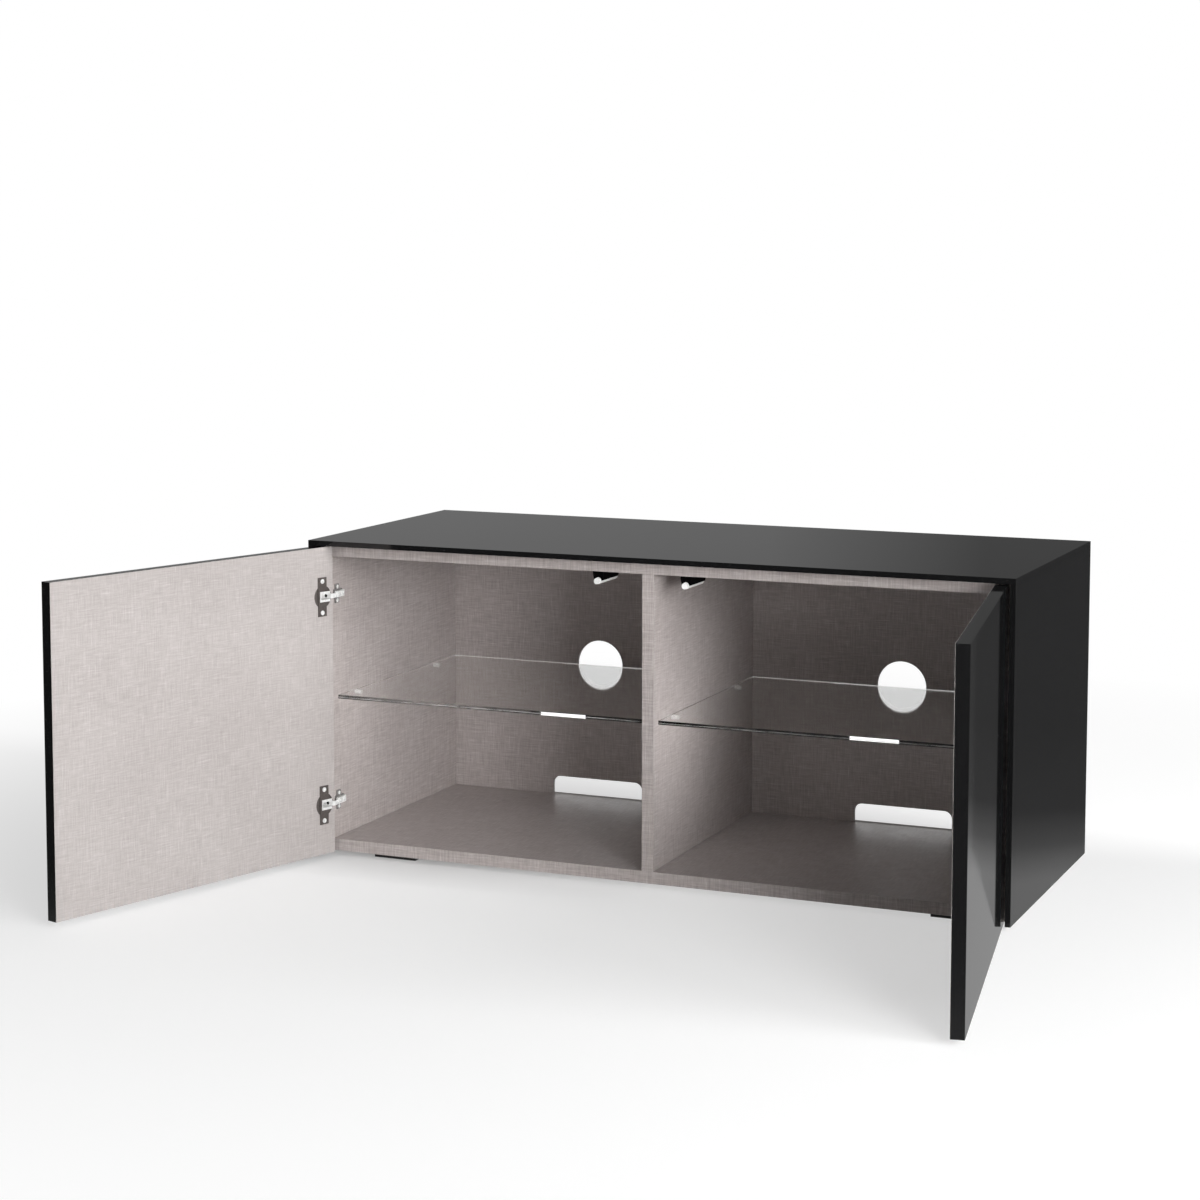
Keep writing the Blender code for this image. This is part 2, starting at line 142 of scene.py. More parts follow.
class Nodes:
    """A small helper that builds a node tree and links sockets by name."""

    def __init__(self, tree, clear=True):
        self.tree = tree
        if clear:
            tree.nodes.clear()

    def add(self, kind, **settings):
        node = self.tree.nodes.new(kind)
        for key, value in settings.items():
            setattr(node, key, value)
        return node

    def link(self, source, target):
        self.tree.links.new(source, target)

    def math(self, operation, a, b=None, clamp=False):
        node = self.add("ShaderNodeMath", operation=operation, use_clamp=clamp)
        for index, value in enumerate((a, b)):
            if value is None:
                continue
            if isinstance(value, (int, float)):
                node.inputs[index].default_value = value
            else:
                self.link(value, node.inputs[index])
        return node.outputs[0]

    def noise(self, vector, scale, detail=2.0, rough=0.5):
        node = self.add("ShaderNodeTexNoise")
        node.inputs["Scale"].default_value = scale
        node.inputs["Detail"].default_value = detail
        node.inputs["Roughness"].default_value = rough
        self.link(vector, node.inputs["Vector"])
        return node.outputs[0]

    def stretched(self, vector, scales, detail=2.0, rough=0.5):
        """Noise with its own scale along each axis."""
        mapping = self.add("ShaderNodeMapping")
        mapping.inputs["Scale"].default_value = scales
        self.link(vector, mapping.inputs["Vector"])
        return self.noise(mapping.outputs[0], 1.0, detail, rough)

    def ramp(self, value, stops):
        node = self.add("ShaderNodeValToRGB")
        elements = node.color_ramp.elements
        while len(elements) < len(stops):
            elements.new(0.5)
        for element, (place, colour) in zip(elements, stops):
            element.position = place
            element.color = (*colour, 1.0)
        self.link(value, node.inputs[0])
        return node.outputs[0]

    def spread(self, value, low, high, to_low, to_high):
        """Maps the range from low to high onto the range from to_low to to_high, and clamps it there."""
        node = self.add("ShaderNodeMapRange")
        node.inputs["From Min"].default_value = low
        node.inputs["From Max"].default_value = high
        node.inputs["To Min"].default_value = to_low
        node.inputs["To Max"].default_value = to_high
        self.link(value, node.inputs["Value"])
        return node.outputs[0]

    def bump(self, height, strength, distance):
        node = self.add("ShaderNodeBump")
        node.inputs["Strength"].default_value = strength
        node.inputs["Distance"].default_value = distance
        self.link(height, node.inputs["Height"])
        return node.outputs[0]

    def mix(self, factor, a, b):
        node = self.add("ShaderNodeMix", data_type="RGBA")
        self.link(factor, node.inputs["Factor"])
        for socket, value in ((node.inputs[6], a), (node.inputs[7], b)):
            if isinstance(value, tuple):
                socket.default_value = (*value, 1.0)
            else:
                self.link(value, socket)
        return node.outputs[2]


def grey(level):
    return (level, level, level)


def new_material(name):
    """A material with a Principled shader. Its coordinates are the ones at rest, wherever the piece moves."""
    made = bpy.data.materials.new(name)
    made.use_nodes = True
    nodes = Nodes(made.node_tree)
    shader = nodes.add("ShaderNodeBsdfPrincipled")
    output = nodes.add("ShaderNodeOutputMaterial")
    nodes.link(shader.outputs[0], output.inputs["Surface"])
    coords = nodes.add("ShaderNodeTexCoord").outputs["Object"]
    return made, nodes, shader, coords, output


def turned(nodes, coords, side):
    """Object coordinates turned so that their X runs along an open door, and Y through its thickness."""
    sign = -1 if side == "left" else 1
    move = nodes.add("ShaderNodeVectorMath", operation="SUBTRACT")
    nodes.link(coords, move.inputs[0])
    move.inputs[1].default_value = (sign * HINGE_X, HINGE_Y, 0.0)
    spin = nodes.add("ShaderNodeVectorRotate", rotation_type="Z_AXIS")
    spin.inputs["Angle"].default_value = math.radians(-sign * OPEN_DEG[side])
    nodes.link(move.outputs[0], spin.inputs["Vector"])
    return spin.outputs[0]


def thread_scales(axis, scales):
    """Noise scales for threads that run along one axis."""
    along, across = scales
    return tuple(along if name == axis else across for name in "XYZ")


def weave(nodes, coords, axis):
    """The threads that run along one axis: soft uneven bands with a few long pale slubs."""
    bands = nodes.stretched(coords, thread_scales(axis, THREAD_SCALES), 3.0, 0.55)
    slubs = nodes.stretched(coords, thread_scales(axis, SLUB_SCALES), 1.0)
    return nodes.math("ADD", bands, nodes.spread(slubs, 0.60, 0.78, 0.0, 0.30))


def linen_colour(nodes, coords, threads, tones):
    """Threads are centred on 1.0. A slow cloud and a fine grain are laid over them."""
    dark, middle, pale = tones
    cloud = nodes.noise(coords, 7.0, 2.0)
    grain = nodes.noise(coords, 900.0, 1.0)
    value = nodes.math("MULTIPLY", threads, 0.43)
    value = nodes.math("ADD", value, nodes.math("MULTIPLY", cloud, 0.10))
    value = nodes.math("ADD", value, nodes.math("MULTIPLY", grain, 0.09))
    return nodes.ramp(value, [(0.40, dark), (0.55, middle), (0.72, pale)])


def board_threads(nodes, coords, texture):
    """On a face that looks along one axis, the threads run along the two others."""
    split = nodes.add("ShaderNodeSeparateXYZ")
    nodes.link(texture.outputs["Normal"], split.inputs[0])
    total = None
    for axis in "XYZ":
        facing = nodes.math("ABSOLUTE", split.outputs[axis])
        share = nodes.math("SUBTRACT", 1.0, facing, clamp=True)
        part = nodes.math("MULTIPLY", weave(nodes, coords, axis), share)
        total = part if total is None else nodes.math("ADD", total, part)
    return total


def linen_material():
    made, nodes, shader, coords, _ = new_material("linen_laminate")
    threads = board_threads(nodes, coords, coords.node)
    nodes.link(linen_colour(nodes, coords, threads, BOARD_LINEN), shader.inputs["Base Color"])
    rough = nodes.spread(nodes.noise(coords, 60.0), 0.3, 0.7, 0.33, 0.43)
    nodes.link(rough, shader.inputs["Roughness"])
    nodes.link(nodes.bump(threads, *LINEN_BUMP), shader.inputs["Normal"])
    return made


def door_material(side):
    """Linen on the inner face; gloss black lacquer on the outer face and the edges."""
    made, nodes, shader, coords, _ = new_material(f"{side}_door_panel")
    local = turned(nodes, coords, side)
    both_ways = nodes.math("ADD", weave(nodes, local, "X"), weave(nodes, local, "Z"))
    threads = nodes.math("MULTIPLY", both_ways, DOOR_THREAD_CONTRAST)
    threads = nodes.math("ADD", threads, 1.0 - DOOR_THREAD_CONTRAST)
    split = nodes.add("ShaderNodeSeparateXYZ")
    nodes.link(local, split.inputs[0])
    inside = nodes.math("GREATER_THAN", split.outputs["Y"], DOOR_FACE - 0.00025)
    lacquer = [(0.3, (0.004, 0.004, 0.0042)), (0.8, (0.007, 0.007, 0.0074))]
    fleck = nodes.ramp(nodes.noise(coords, 900.0), lacquer)
    # The inner face's linen tones carry painted shade and sheen.
    linen = linen_colour(nodes, local, threads, DOOR_LINEN_SHADE_AND_SHEEN)
    nodes.link(nodes.mix(inside, fleck, linen), shader.inputs["Base Color"])
    smear = nodes.spread(nodes.noise(coords, 7.0, 3.0), 0.3, 0.7, 0.03, 0.06)
    linen_rough = nodes.spread(nodes.noise(coords, 60.0), 0.3, 0.7, 0.36, 0.46)
    gloss = nodes.math("MULTIPLY", smear, nodes.math("SUBTRACT", 1.0, inside))
    rough = nodes.math("ADD", gloss, nodes.math("MULTIPLY", linen_rough, inside))
    nodes.link(rough, shader.inputs["Roughness"])
    height = nodes.math("MULTIPLY", threads, inside)
    nodes.link(nodes.bump(height, *LINEN_BUMP), shader.inputs["Normal"])
    return made


def black_glass_material():
    """Gloss black glass with faint smears."""
    made, nodes, shader, coords, _ = new_material("black_glass")
    blacks = [(0.3, (0.004, 0.004, 0.0042)), (0.8, (0.008, 0.008, 0.0084))]
    nodes.link(nodes.ramp(nodes.noise(coords, 700.0), blacks), shader.inputs["Base Color"])
    smear = nodes.spread(nodes.noise(coords, 6.0, 3.0), 0.3, 0.7, 0.04, 0.08)
    nodes.link(smear, shader.inputs["Roughness"])
    nodes.link(nodes.bump(nodes.noise(coords, 3.0), 0.02, 0.001), shader.inputs["Normal"])
    return made


def shelf_front(nodes, split, streak, glass):
    """Glass with a streaky ground band along the middle of the front edge."""
    front = nodes.math("LESS_THAN", split.outputs["Y"], SHELF_FRONT_Y + EDGE_PAINT)
    from_middle = nodes.math("ABSOLUTE", nodes.math("SUBTRACT", split.outputs["Z"], GROUND_BAND_Z))
    band = nodes.math("MULTIPLY", front, nodes.math("LESS_THAN", from_middle, GROUND_BAND_HALF))
    ground = nodes.add("ShaderNodeBsdfDiffuse")
    tones = nodes.ramp(streak, [(0.0, (0.50, 0.49, 0.48)), (1.0, (0.80, 0.79, 0.78))])
    nodes.link(tones, ground.inputs["Color"])
    mixed = nodes.add("ShaderNodeMixShader")
    nodes.link(nodes.math("MULTIPLY", band, nodes.math("MULTIPLY", streak, 0.45)), mixed.inputs[0])
    nodes.link(glass, mixed.inputs[1])
    nodes.link(ground.outputs[0], mixed.inputs[2])
    return mixed.outputs[0]


def shelf_rear(nodes, split, streak, path, glass):
    """Glass with a line of daylight along the rear edge. Reflections inside the glass don't see the line."""
    rear = nodes.math("GREATER_THAN", split.outputs["Y"], SHELF_BACK_Y - EDGE_PAINT)
    daylight = nodes.add("ShaderNodeEmission")
    tones = nodes.ramp(streak, [(0.0, (0.35, 0.35, 0.34)), (1.0, (0.75, 0.75, 0.74))])
    nodes.link(tones, daylight.inputs["Color"])
    straight = nodes.math("SUBTRACT", 0.75, path.outputs["Is Reflection Ray"], clamp=True)
    mixed = nodes.add("ShaderNodeMixShader")
    nodes.link(nodes.math("MULTIPLY", rear, straight), mixed.inputs[0])
    nodes.link(glass, mixed.inputs[1])
    nodes.link(daylight.outputs[0], mixed.inputs[2])
    return mixed.outputs[0]


def clear_glass_material():
    """Clear glass for the shelves. Light for shadows passes straight through it."""
    made, nodes, shader, coords, output = new_material("clear_glass")
    tint = nodes.ramp(nodes.noise(coords, 5.0), [(0.3, (0.955, 0.965, 0.955)), (0.7, (0.975, 0.980, 0.975))])
    nodes.link(tint, shader.inputs["Base Color"])
    nodes.link(nodes.spread(nodes.noise(coords, 9.0), 0.3, 0.7, 0.0, 0.004), shader.inputs["Roughness"])
    shader.inputs["Transmission Weight"].default_value = 1.0
    shader.inputs["IOR"].default_value = 1.5
    split = nodes.add("ShaderNodeSeparateXYZ")
    nodes.link(coords, split.inputs[0])
    streak = nodes.spread(nodes.stretched(coords, (35, 900, 900), 2.0), 0.35, 0.65, 0.4, 1.0)
    path = nodes.add("ShaderNodeLightPath")
    fronted = shelf_front(nodes, split, streak, shader.outputs[0])
    edged = shelf_rear(nodes, split, streak, path, fronted)
    clear = nodes.add("ShaderNodeBsdfTransparent")
    mix = nodes.add("ShaderNodeMixShader")
    nodes.link(path.outputs["Is Shadow Ray"], mix.inputs[0])
    nodes.link(edged, mix.inputs[1])
    nodes.link(clear.outputs[0], mix.inputs[2])
    nodes.link(mix.outputs[0], output.inputs["Surface"])
    return made


def metal_material(name, dark, pale, rough_low, rough_high, metallic):
    """Plated steel: a faint directional brushing and small uneven marks."""
    made, nodes, shader, coords, _ = new_material(name)
    brushed = nodes.stretched(coords, (900, 900, 120), 2.0)
    nodes.link(nodes.ramp(brushed, [(0.3, dark), (0.7, pale)]), shader.inputs["Base Color"])
    worn = nodes.noise(coords, 180.0, 3.0)
    nodes.link(nodes.spread(worn, 0.3, 0.7, rough_low, rough_high), shader.inputs["Roughness"])
    shader.inputs["Metallic"].default_value = metallic
    nodes.link(nodes.bump(brushed, 0.05, 0.00003), shader.inputs["Normal"])
    return made


def hinge_height(nodes, split):
    """How far above or below the middle of the nearer hinge."""
    from_middle = nodes.math("ABSOLUTE", nodes.math("SUBTRACT", split.outputs["Z"], HINGE_MIDDLE))
    return nodes.math("ABSOLUTE", nodes.math("SUBTRACT", from_middle, HINGE_HALF_SPAN))


def arm_material():
    """Bright plated steel. A near-black oval on the arm's front face is painted shade where its adjusting
    hole is.
    """
    made = metal_material("hinge_steel", (0.74, 0.74, 0.73), (0.90, 0.90, 0.89), 0.25, 0.38, 0.15)
    tree = made.node_tree
    shader = next(node for node in tree.nodes if node.type == "BSDF_PRINCIPLED")
    plated = shader.inputs["Base Color"].links[0].from_socket
    nodes = Nodes(tree, clear=False)
    split = nodes.add("ShaderNodeSeparateXYZ")
    nodes.link(nodes.add("ShaderNodeTexCoord").outputs["Object"], split.inputs[0])
    across = nodes.math("SUBTRACT", nodes.math("ABSOLUTE", split.outputs["X"]), ARM_HOLE_X)
    across = nodes.math("ABSOLUTE", across)
    wide = nodes.math("POWER", nodes.math("DIVIDE", across, ARM_HOLE_WIDE / 2), 2.0)
    high = nodes.math("POWER", nodes.math("DIVIDE", hinge_height(nodes, split), ARM_HOLE_HIGH / 2), 2.0)
    oval = nodes.math("LESS_THAN", nodes.math("ADD", wide, high), 1.0)
    front = nodes.math("LESS_THAN", split.outputs["Y"], HINGE_Y)
    hole = nodes.math("MULTIPLY", oval, front)
    # Painted shade: the oval is painted near-black where the adjusting hole is, which is not cut into the
    # arm.
    nodes.link(nodes.mix(hole, plated, (0.003, 0.003, 0.003)), shader.inputs["Base Color"])
    return made


def cup_material(side):
    """The flange is dull grey steel. The cast block and pocket that stand through it are bright."""
    made, nodes, shader, coords, _ = new_material(f"{side}_hinge_cup")
    local = turned(nodes, coords, side)
    split = nodes.add("ShaderNodeSeparateXYZ")
    nodes.link(local, split.inputs[0])
    proud = nodes.math("GREATER_THAN", split.outputs["Y"], FLANGE_FACE + 0.0001)
    deep = nodes.math("LESS_THAN", split.outputs["Y"], FLANGE_FACE - 0.0005)
    reach = nodes.math("ABSOLUTE", split.outputs["X"])
    deep = nodes.math("MULTIPLY", deep, nodes.math("LESS_THAN", reach, POCKET_REACH))
    level = nodes.math("LESS_THAN", hinge_height(nodes, split), POCKET_HALF)
    pocket = nodes.math("MULTIPLY", level, deep)
    bright = nodes.math("MAXIMUM", proud, pocket)
    worn = nodes.noise(coords, 300.0, 3.0)
    dull = nodes.ramp(worn, [(0.3, (0.080, 0.069, 0.065)), (0.7, (0.110, 0.096, 0.090))])
    cast = nodes.ramp(worn, [(0.3, (0.70, 0.70, 0.69)), (0.7, (0.82, 0.82, 0.81))])
    nodes.link(nodes.mix(bright, dull, cast), shader.inputs["Base Color"])
    nodes.link(nodes.spread(worn, 0.3, 0.7, 0.34, 0.46), shader.inputs["Roughness"])
    shader.inputs["Metallic"].default_value = 0.15
    nodes.link(nodes.bump(worn, 0.08, 0.00004), shader.inputs["Normal"])
    return made


def plastic_material(name, dark, pale, rough_low, rough_high, shine=0.5):
    """Plastic or rubber with a fine grain."""
    made, nodes, shader, coords, _ = new_material(name)
    speck = nodes.noise(coords, 1800.0, 2.0)
    tone = nodes.ramp(nodes.noise(coords, 120.0, 3.0), [(0.3, dark), (0.7, pale)])
    nodes.link(tone, shader.inputs["Base Color"])
    nodes.link(nodes.spread(speck, 0.3, 0.7, rough_low, rough_high), shader.inputs["Roughness"])
    shader.inputs["Specular IOR Level"].default_value = shine
    nodes.link(nodes.bump(speck, 0.3, 0.00008), shader.inputs["Normal"])
    return made


def dress(node, mat):
    """Gives a CAD node its material."""
    target = NODES[node]
    target.data.materials.clear()
    target.data.materials.append(mat)


def round_edges(node, width):
    """Rounds a CAD node's sharp edges a little."""
    bevel = NODES[node].modifiers.new("edges", "BEVEL")
    bevel.width = width
    bevel.segments = 2
    bevel.limit_method = "ANGLE"
    bevel.angle_limit = math.radians(40)
    bevel.harden_normals = True


def dress_all():
    """Gives every CAD node its material, and returns the one that the screw heads share."""
    glass = black_glass_material()
    clear = clear_glass_material()
    laminate = linen_material()
    rubber = plastic_material("foot_rubber", grey(0.010), grey(0.020), 0.6, 0.8)
    steel = arm_material()
    bright = metal_material("bright_steel", (0.82, 0.82, 0.81), (0.92, 0.92, 0.91), 0.20, 0.32, 0.25)
    nickel = metal_material("shelf_pin_nickel", (0.90, 0.90, 0.89), (0.98, 0.98, 0.97), 0.15, 0.25, 0.0)
    plate = metal_material("plate_steel", (0.10, 0.095, 0.09), (0.42, 0.41, 0.40), 0.30, 0.45, 0.3)
    cups = {side: cup_material(side) for side in ("left", "right")}
    dark = plastic_material("black_plastic", grey(0.001), grey(0.002), 0.6, 0.8, shine=0.08)
    pale = plastic_material("pale_plastic", (0.84, 0.84, 0.83), (0.92, 0.92, 0.91), 0.25, 0.40)
    doors = {side: door_material(side) for side in ("left", "right")}
    for name in NODES:
        if name in ("top_glass", "left_side_glass", "right_side_glass"):
            dress(name, glass)
            round_edges(name, 0.0007)
        elif name in ("left_shelf", "right_shelf"):
            dress(name, clear)
            round_edges(name, 0.0006)
        elif name in ("left_door", "right_door"):
            dress(name, doors[name.split("_")[0]])
        elif name.endswith(("_board", "_back_panel")):
            dress(name, laminate)
            round_edges(name, 0.0005)
        elif name.endswith("_foot"):
            dress(name, rubber)
            round_edges(name, 0.001)
        elif name.endswith("_cup"):
            dress(name, cups[name.split("_")[0]])
        elif name.endswith("_plate"):
            dress(name, plate)
            round_edges(name, 0.0004)
        elif name.endswith("_arm"):
            dress(name, steel)
            round_edges(name, 0.0004)
        elif name.endswith("_housing"):
            dress(name, dark)
            round_edges(name, 0.0006)
        elif name.endswith(("_tube", "_plunger")):
            dress(name, pale)
            round_edges(name, 0.0005)
        elif "_shelf_pin" in name:
            dress(name, nickel)
            round_edges(name, 0.0005)
        else:
            dress(name, bright)
            round_edges(name, 0.0003)
    return bright


def screw_mesh(radius, rise, depth):
    """A round screw head along +Z: a domed top with a cross recess, closed underneath."""
    bm = bmesh.new()
    centre = bm.verts.new((0.0, 0.0, rise - depth))
    rows = []
    for ring in range(1, SCREW_RINGS + 1):
        out = ring / SCREW_RINGS
        row = []
        for spoke in range(SCREW_SPOKES):
            angle = 2 * math.pi * spoke / SCREW_SPOKES
            x = math.cos(angle) * out
            y = math.sin(angle) * out
            z = rise * (1.0 - SCREW_CROWN * out**4)
            if min(abs(x), abs(y)) < SCREW_CROSS_HALF and out < SCREW_CROSS_REACH:
                z -= depth
            row.append(bm.verts.new((x * radius, y * radius, z)))
        rows.append(row)
    rows.append([bm.verts.new((vert.co.x, vert.co.y, 0.0)) for vert in rows[-1]])
    for index in range(SCREW_SPOKES):
        after = (index + 1) % SCREW_SPOKES
        bm.faces.new((centre, rows[0][index], rows[0][after]))
        for inner, outer in zip(rows, rows[1:]):
            bm.faces.new((inner[index], outer[index], outer[after], inner[after]))
    bm.faces.new(list(reversed(rows[-1])))
    bmesh.ops.recalc_face_normals(bm, faces=bm.faces)
    return bm


def add_screw(name, place, facing, shape, mat):
    """Puts a screw head at a place, standing along the facing direction, turned a little."""
    bm = screw_mesh(*shape)
    spin = Matrix.Rotation(SCREW_TURN, 4, "Z")
    aim = Vector(facing).to_track_quat("Z", "Y").to_matrix().to_4x4()
    bm.transform(Matrix.Translation(place) @ aim @ spin)
    mesh = bpy.data.meshes.new(name)
    bm.to_mesh(mesh)
    bm.free()
    mesh.shade_smooth()
    mesh.set_sharp_from_angle(angle=math.radians(40))
    mesh.materials.append(mat)
    piece = bpy.data.objects.new(name, mesh)
    bpy.context.scene.collection.objects.link(piece)
    return piece


def door_point(side, inward, proud, z):
    """A world point on an open door, from its distance in from the hinge edge and out from the pin."""
    sign = -1 if side == "left" else 1
    turn = Matrix.Rotation(math.radians(sign * OPEN_DEG[side]), 3, "Z")
    local = Vector((-sign * (inward - HINGE_EDGE_IN), proud, 0.0))
    place = turn @ local + Vector((sign * HINGE_X, HINGE_Y, z))
    return place, turn @ Vector((0.0, 1.0, 0.0))


def make_screws(mat):
    """Cross-head screws: two through each hinge flange, two in each plate and two in each arm."""
    for side in ("left", "right"):
        sign = -1 if side == "left" else 1
        inward = (-sign, 0, 0)
        for level, z in HINGE_HEIGHTS.items():
            hinge = f"{side}_{level}_hinge"
            for end, step in (("low", -1), ("high", 1)):
                height = z + step * CUP_SCREW_SPACING / 2
                place, facing = door_point(side, CUP_SCREW_IN, FLANGE_FACE, height)
                piece = add_screw(f"{hinge}_cup_screw_{end}", place, facing, CUP_SCREW, mat)
                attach(piece, f"{side}_door")
                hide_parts(f"{hinge}_screw_{end}")
                place = (sign * WING_FACE_X, HINGE_Y + WING_SCREW_Y, z + step * WING_SCREW_HALF)
                piece = add_screw(f"{hinge}_plate_screw_{end}", place, inward, PLATE_SCREW, mat)
                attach(piece, "carcass")
            for place_name, along in zip(("front", "rear"), ARM_SCREWS_Y):
                place = (sign * ARM_FACE_X, HINGE_Y + along, z)
                piece = add_screw(f"{hinge}_arm_screw_{place_name}", place, inward, ARM_SCREW, mat)
                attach(piece, "carcass")


def shine_world():
    """White where the camera looks straight or through glass; a dim room with pale walls for reflections."""
    world = bpy.data.worlds.new("studio")
    bpy.context.scene.world = world
    world.use_nodes = True
    nodes = Nodes(world.node_tree)
    path = nodes.add("ShaderNodeLightPath")
    seen = nodes.math("MAXIMUM", path.outputs["Is Camera Ray"], path.outputs["Is Transmission Ray"])
    coords = nodes.add("ShaderNodeTexCoord").outputs["Generated"]
    split = nodes.add("ShaderNodeSeparateXYZ")
    nodes.link(coords, split.inputs[0])
    walls = nodes.ramp(
        nodes.spread(split.outputs["X"], -1.0, 1.0, 0.0, 1.0),
        [
            (0.20, grey(0.30)),
            (0.335, grey(0.235)),
            (0.375, grey(0.105)),
            (0.60, grey(0.09)),
            (0.80, grey(0.15)),
            (0.92, grey(0.80)),
        ],
    )
    above = nodes.spread(split.outputs["Z"], 0.35, 0.75, 0.0, 1.0)
    room = nodes.mix(above, walls, grey(0.70))
    fill = nodes.mix(path.outputs["Is Glossy Ray"], grey(0.03), room)
    colour = nodes.mix(seen, fill, grey(1.0))
    background = nodes.add("ShaderNodeBackground")
    nodes.link(colour, background.inputs["Color"])
    through = nodes.spread(path.outputs["Is Transmission Ray"], 0.0, 1.0, 1.0, BACKDROP_THROUGH_GLASS)
    nodes.link(through, background.inputs["Strength"])
    output = nodes.add("ShaderNodeOutputWorld")
    nodes.link(background.outputs[0], output.inputs["Surface"])


def floor_seen(nodes, coords):
    """The floor as the camera sees it: dimmer by the left front, brighter behind, and white far away."""
    split = nodes.add("ShaderNodeSeparateXYZ")
    nodes.link(coords, split.inputs[0])
    past_side = nodes.math("ABSOLUTE", split.outputs["X"])
    past_side = nodes.math("SUBTRACT", past_side, SHADOW_HALF_WIDTH, clamp=True)
    past_front = nodes.math("ABSOLUTE", split.outputs["Y"])
    past_front = nodes.math("SUBTRACT", past_front, SHADOW_HALF_DEPTH, clamp=True)
    side_squared = nodes.math("MULTIPLY", past_side, past_side)
    front_squared = nodes.math("MULTIPLY", past_front, past_front)
    past = nodes.math("SQRT", nodes.math("ADD", side_squared, front_squared))
    close = nodes.spread(past, 0.0, SHADOW_REACH, 1.0, 0.0)
    leftward = nodes.spread(split.outputs["X"], 0.05, -0.35, 0.0, 1.0)
    shut_out = nodes.math("MULTIPLY", nodes.math("MULTIPLY", close, leftward), SHADOW_STRENGTH)
    behind = nodes.spread(split.outputs["Y"], 0.25, 0.45, FLOOR_FRONT, FLOOR_BEHIND)
    base = nodes.add("ShaderNodeEmission")
    nodes.link(nodes.math("SUBTRACT", behind, shut_out), base.inputs["Strength"])
    shaded = nodes.add("ShaderNodeBsdfDiffuse")
    shaded.inputs["Color"].default_value = (*grey(0.50), 1.0)
    both = nodes.add("ShaderNodeAddShader")
    nodes.link(base.outputs[0], both.inputs[0])
    nodes.link(shaded.outputs[0], both.inputs[1])
    plain = nodes.add("ShaderNodeEmission")
    plain.inputs["Strength"].default_value = 1.0
    reach = nodes.add("ShaderNodeVectorMath", operation="LENGTH")
    nodes.link(coords, reach.inputs[0])
    lit = nodes.add("ShaderNodeMixShader")
    nodes.link(nodes.spread(reach.outputs["Value"], *FLOOR_FADE, 0.0, 1.0), lit.inputs[0])
    nodes.link(both.outputs[0], lit.inputs[1])
    nodes.link(plain.outputs[0], lit.inputs[2])
    return lit.outputs[0]


def floor_reflected(nodes, coords):
    """The floor as gloss faces see it: lit only close to the object."""
    move = nodes.add("ShaderNodeVectorMath", operation="SUBTRACT")
    nodes.link(coords, move.inputs[0])
    move.inputs[1].default_value = (0.0, -0.35, 0.0)
    near = nodes.add("ShaderNodeVectorMath", operation="LENGTH")
    nodes.link(move.outputs[0], near.inputs[0])
    fade = nodes.ramp(
        nodes.spread(near.outputs["Value"], 0.0, 2.0, 0.0, 1.0),
        [(0.36, grey(0.40)), (0.45, grey(0.17)), (0.56, grey(0.075)), (0.9, grey(0.06))],
    )
    glow = nodes.add("ShaderNodeEmission")
    nodes.link(fade, glow.inputs["Color"])
    return glow.outputs[0]


def floor_material():
    """A pale matt floor. The camera and gloss faces each see their own version of it."""
    made, nodes, shader, coords, output = new_material("studio_floor")
    tone = nodes.ramp(nodes.noise(coords, 2.0), [(0.3, grey(0.86)), (0.7, grey(0.88))])
    nodes.link(tone, shader.inputs["Base Color"])
    shader.inputs["Roughness"].default_value = 0.9
    shader.inputs["Specular IOR Level"].default_value = 0.0
    path = nodes.add("ShaderNodeLightPath")
    seen = nodes.math("MAXIMUM", path.outputs["Is Camera Ray"], path.outputs["Is Transmission Ray"])
    direct = nodes.add("ShaderNodeMixShader")
    nodes.link(seen, direct.inputs[0])
    nodes.link(shader.outputs[0], direct.inputs[1])
    nodes.link(floor_seen(nodes, coords), direct.inputs[2])
    mix = nodes.add("ShaderNodeMixShader")
    nodes.link(path.outputs["Is Glossy Ray"], mix.inputs[0])
    nodes.link(direct.outputs[0], mix.inputs[1])
    nodes.link(floor_reflected(nodes, coords), mix.inputs[2])
    nodes.link(mix.outputs[0], output.inputs["Surface"])
    return made


def make_floor():
    bm = bmesh.new()
    bmesh.ops.create_grid(bm, x_segments=8, y_segments=8, size=12.0)
    mesh = bpy.data.meshes.new("studio_floor")
    bm.to_mesh(mesh)
    bm.free()
    mesh.materials.append(floor_material())
    floor = bpy.data.objects.new("studio_floor", mesh)
    floor.location = (0.0, 0.0, -0.0002)
    bpy.context.scene.collection.objects.link(floor)


def card_material():
    made, nodes, _, coords, output = new_material("opening_card")
    glow = nodes.add("ShaderNodeEmission")
    tone = nodes.ramp(nodes.noise(coords, 3.0), [(0.3, grey(0.96)), (0.7, grey(1.0))])
    nodes.link(tone, glow.inputs["Color"])
    nodes.link(glow.outputs[0], output.inputs["Surface"])
    return made


def hole_outline(sign):
    angles = [math.tau * step / CARD_HOLE_SIDES for step in range(CARD_HOLE_SIDES)]
    return [
        (sign * HOLE_X + CARD_HOLE_RADIUS * math.cos(angle), HOLE_Z + CARD_HOLE_RADIUS * math.sin(angle))
        for angle in angles
    ]


def notch_outline(sign):
    half = NOTCH_WIDTH / 2 - CARD_NOTCH_GAP
    middle = sign * NOTCH_X
    return [
        (middle - half, CARD_NOTCH_FOOT),
        (middle + half, CARD_NOTCH_FOOT),
        (middle + half, CARD_NOTCH_SHOULDER),
        (middle + half - CARD_NOTCH_CORNER, CARD_NOTCH_TOP),
        (middle - half + CARD_NOTCH_CORNER, CARD_NOTCH_TOP),
        (middle - half, CARD_NOTCH_SHOULDER),
    ]


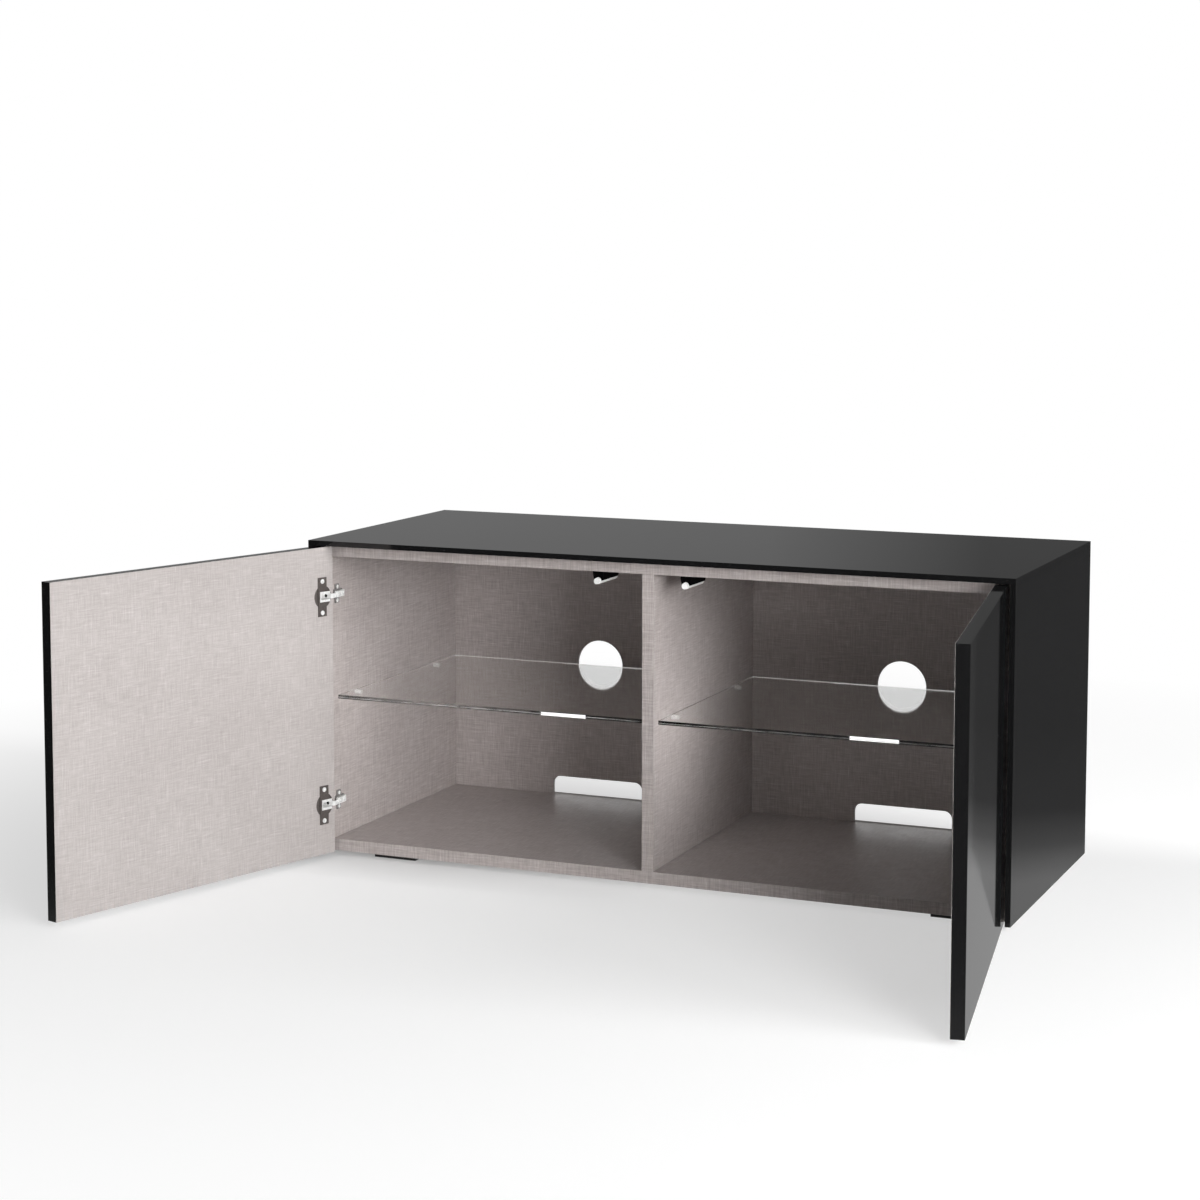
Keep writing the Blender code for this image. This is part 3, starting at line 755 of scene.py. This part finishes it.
def make_cards():
    """The daylight that gloss and glass see in the cable holes and notches. Nothing else sees it."""
    mat = card_material()
    for side, sign in (("left", -1), ("right", 1)):
        for kind, outline in (("hole", hole_outline(sign)), ("notch", notch_outline(sign))):
            bm = bmesh.new()
            bm.faces.new([bm.verts.new((x, CARD_Y, z)) for x, z in outline])
            mesh = bpy.data.meshes.new(f"{side}_{kind}_card")
            bm.to_mesh(mesh)
            bm.free()
            mesh.materials.append(mat)
            card = bpy.data.objects.new(mesh.name, mesh)
            bpy.context.scene.collection.objects.link(card)
            card.visible_camera = False
            card.visible_diffuse = False
            card.visible_shadow = False
            card.visible_transmission = False


def area_light(name, place, target, size, power):
    """A rectangular lamp that neither the camera nor a reflection sees."""
    lamp = bpy.data.lights.new(name, "AREA")
    lamp.shape = "RECTANGLE"
    lamp.size = size[0]
    lamp.size_y = size[1]
    lamp.energy = power
    holder = bpy.data.objects.new(name, lamp)
    holder.location = place
    holder.rotation_euler = (Vector(target) - Vector(place)).to_track_quat("-Z", "Y").to_euler()
    holder.visible_glossy = False
    holder.visible_camera = False
    bpy.context.scene.collection.objects.link(holder)
    return holder


def make_lights():
    """The studio lamps. The bounce lamp is a narrow one that stands in for light off the right door."""
    lamps = {name: area_light(name, *setting) for name, setting in LAMPS.items()}
    lamps["bounce"].data.spread = math.radians(BOUNCE_SPREAD_DEG)
    lamps["bounce"].visible_transmission = False


def make_camera():
    data = bpy.data.cameras.new("camera")
    data.sensor_width = 36.0
    data.lens = FOCAL_MM
    data.shift_y = SHIFT_Y
    holder = bpy.data.objects.new("camera", data)
    holder.location = CAMERA_PLACE
    level = math.cos(CAMERA_PITCH)
    ahead = Vector((-math.sin(CAMERA_YAW) * level, math.cos(CAMERA_YAW) * level, math.sin(CAMERA_PITCH)))
    right = Vector((math.cos(CAMERA_YAW), math.sin(CAMERA_YAW), 0.0))
    up = right.cross(ahead)
    tilted_right = right * math.cos(CAMERA_ROLL) + up * math.sin(CAMERA_ROLL)
    tilted_up = up * math.cos(CAMERA_ROLL) - right * math.sin(CAMERA_ROLL)
    turn = Matrix((tilted_right, tilted_up, -ahead)).transposed()
    holder.rotation_euler = turn.to_euler()
    bpy.context.scene.collection.objects.link(holder)
    bpy.context.scene.camera = holder


def main():
    bright = dress_all()
    make_screws(bright)
    shine_world()
    make_floor()
    make_cards()
    make_lights()
    make_camera()
    bpy.context.scene.cycles.glossy_bounces = 12
    bpy.context.scene.view_settings.view_transform = "Standard"


main()
